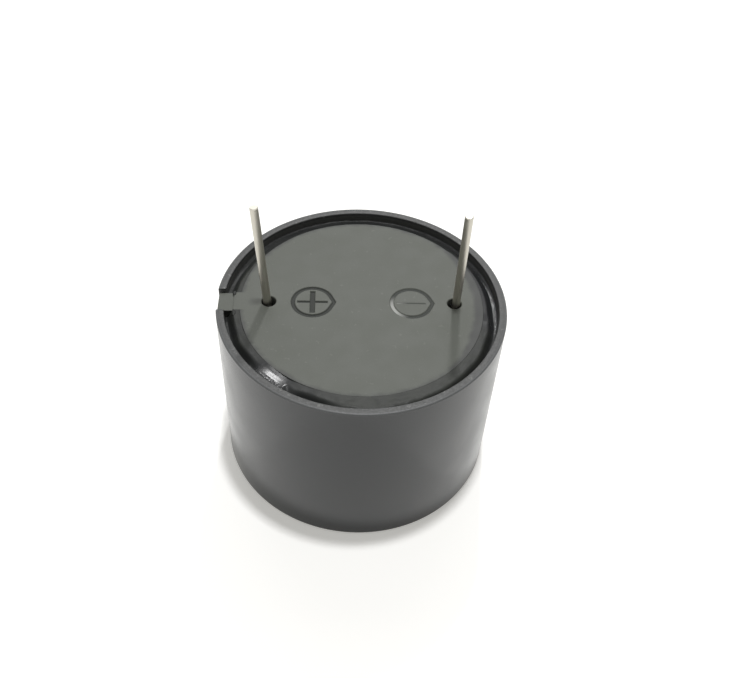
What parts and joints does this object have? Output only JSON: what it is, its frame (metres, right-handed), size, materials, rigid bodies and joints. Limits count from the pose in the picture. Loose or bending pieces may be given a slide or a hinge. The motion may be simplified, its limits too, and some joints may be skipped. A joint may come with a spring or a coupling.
{
  "type": "piezo buzzer",
  "caption": "Round black piezo buzzer with a built-in driver: a cup-shaped case closed by a sealed grey base plate, with plus and minus wire leads standing up out of it.",
  "frame": {"origin": "centre of the sound face, which the part stands on", "axes": "+Z from the sound face to the leads, X along the line through both leads, with the plus lead and the locating key at -X"},
  "size_m": [0.023, 0.023, 0.025],
  "materials": {
    "case_plastic": "satin black moulded plastic",
    "plate_plastic": "matt dark grey moulded plastic",
    "sealant": "glossy black resin",
    "lead_wire": "tinned wire",
    "diaphragm_brass": "rolled brass sheet",
    "piezo_ceramic": "fired ceramic",
    "fired_silver": "fired silver",
    "silicone": "white silicone",
    "board_laminate": "paper laminate board",
    "solder": "solder",
    "red_insulation": "wire insulation",
    "blue_insulation": "wire insulation",
    "black_insulation": "wire insulation",
    "ferrite": "sintered ferrite",
    "enamelled_copper": "enamelled copper wire",
    "component_resin": "moulded resin",
    "chip_resistor": "glazed chip",
    "chip_capacitor": "chip capacitor"
  },
  "bodies": {
    "root": {"case": "case_plastic", "base_plate": "plate_plastic", "sealant_ring": "sealant", "pin_plus": "lead_wire", "pin_minus": "lead_wire", "diaphragm": "diaphragm_brass", "piezo_disc": "piezo_ceramic", "disc_electrodes": "fired_silver", "diaphragm_bead": "silicone", "circuit_board": "board_laminate", "board_solder": "solder", "disc_solder": "solder", "main_lead": "red_insulation", "feedback_lead": "blue_insulation", "ground_lead": "black_insulation", "choke_core": "ferrite", "choke_winding": "enamelled_copper", "choke_leads": "solder", "transistor": "component_resin", "base_resistor": "chip_resistor", "feedback_resistor": "chip_resistor", "load_resistor": "chip_resistor", "protection_diode": "component_resin", "supply_capacitor": "chip_capacitor"}
  },
  "joints": []
}
